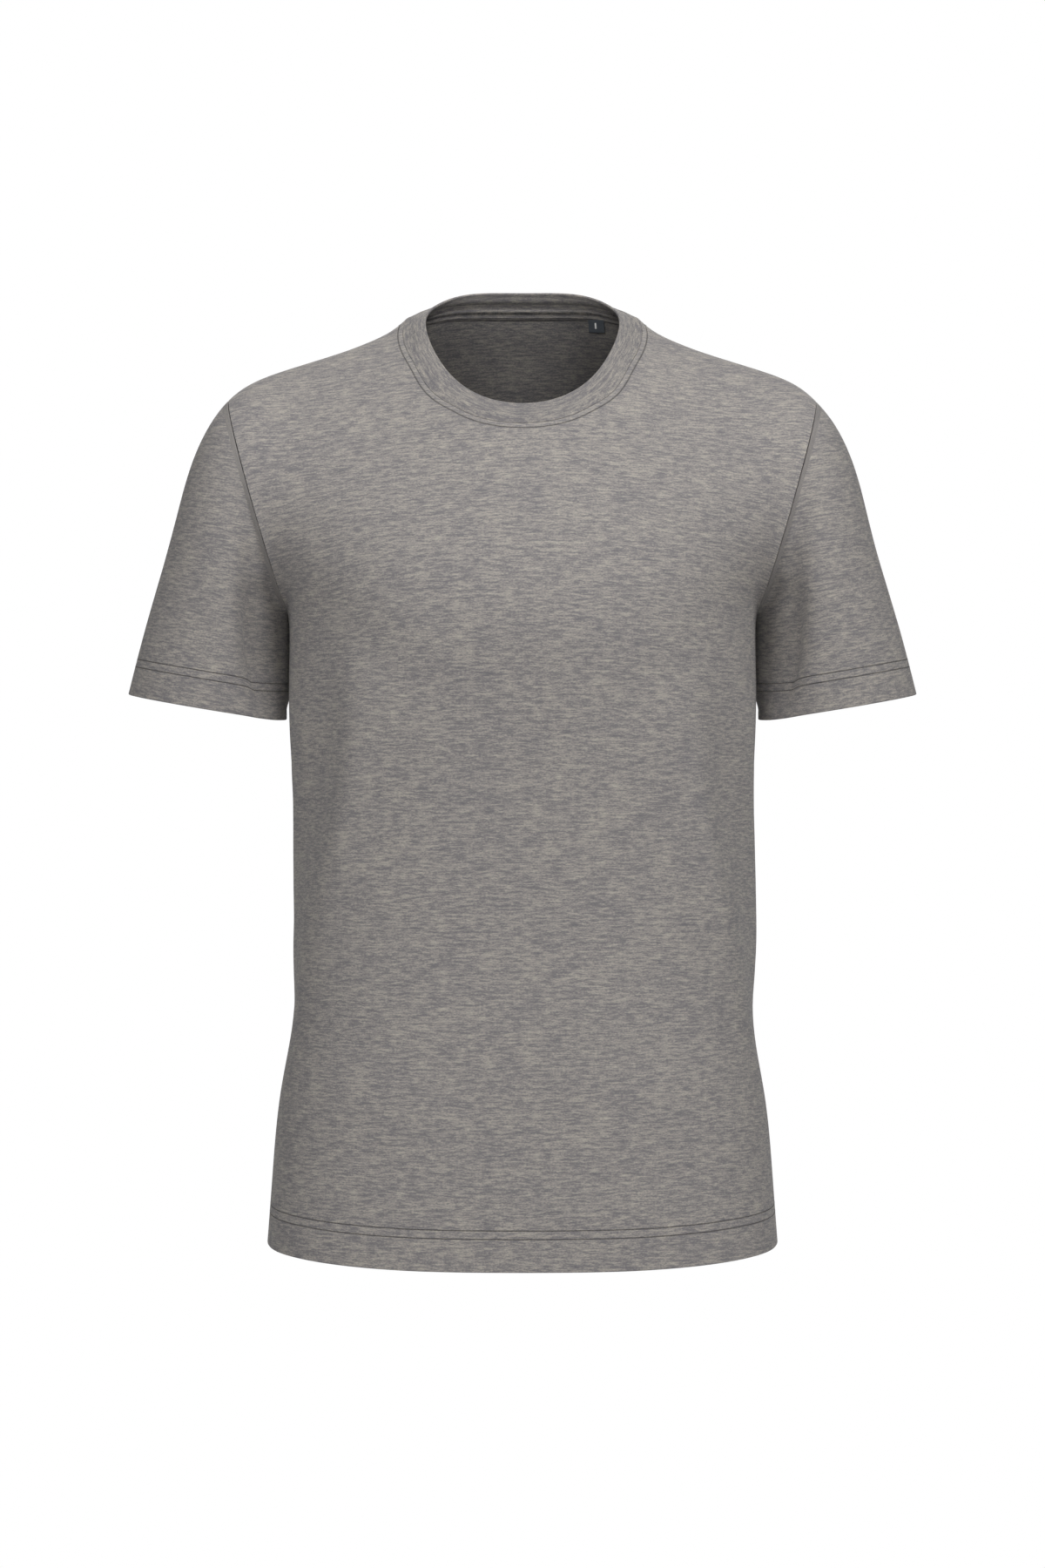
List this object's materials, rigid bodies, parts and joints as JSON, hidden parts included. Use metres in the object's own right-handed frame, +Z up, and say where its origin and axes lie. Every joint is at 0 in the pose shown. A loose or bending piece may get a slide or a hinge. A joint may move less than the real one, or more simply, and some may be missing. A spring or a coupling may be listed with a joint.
{
  "type": "crew neck t-shirt",
  "caption": "Short-sleeved jersey T-shirt with a round neckband of the same cloth, in worn form with no wearer, open at neck, sleeves and hem.",
  "frame": {"origin": "centre of the neck, at the height of the points where the shoulder seams meet the neckband, where the shirt rests on its wearer", "axes": "+Z up, -Y out of the front, +X to the right seen from the front"},
  "size_m": [0.616, 0.248, 0.7529],
  "materials": {
    "jersey": "heathered grey-beige cotton jersey, soft and matt",
    "tape": "self-fabric tape, matt",
    "label": "charcoal woven tab with a pale bar"
  },
  "bodies": {
    "root": {"front": "jersey", "back": "jersey", "sleeve_right": "jersey", "sleeve_left": "jersey", "neckband": "jersey", "neck_tape": "tape", "size_label": "label"}
  },
  "joints": []
}
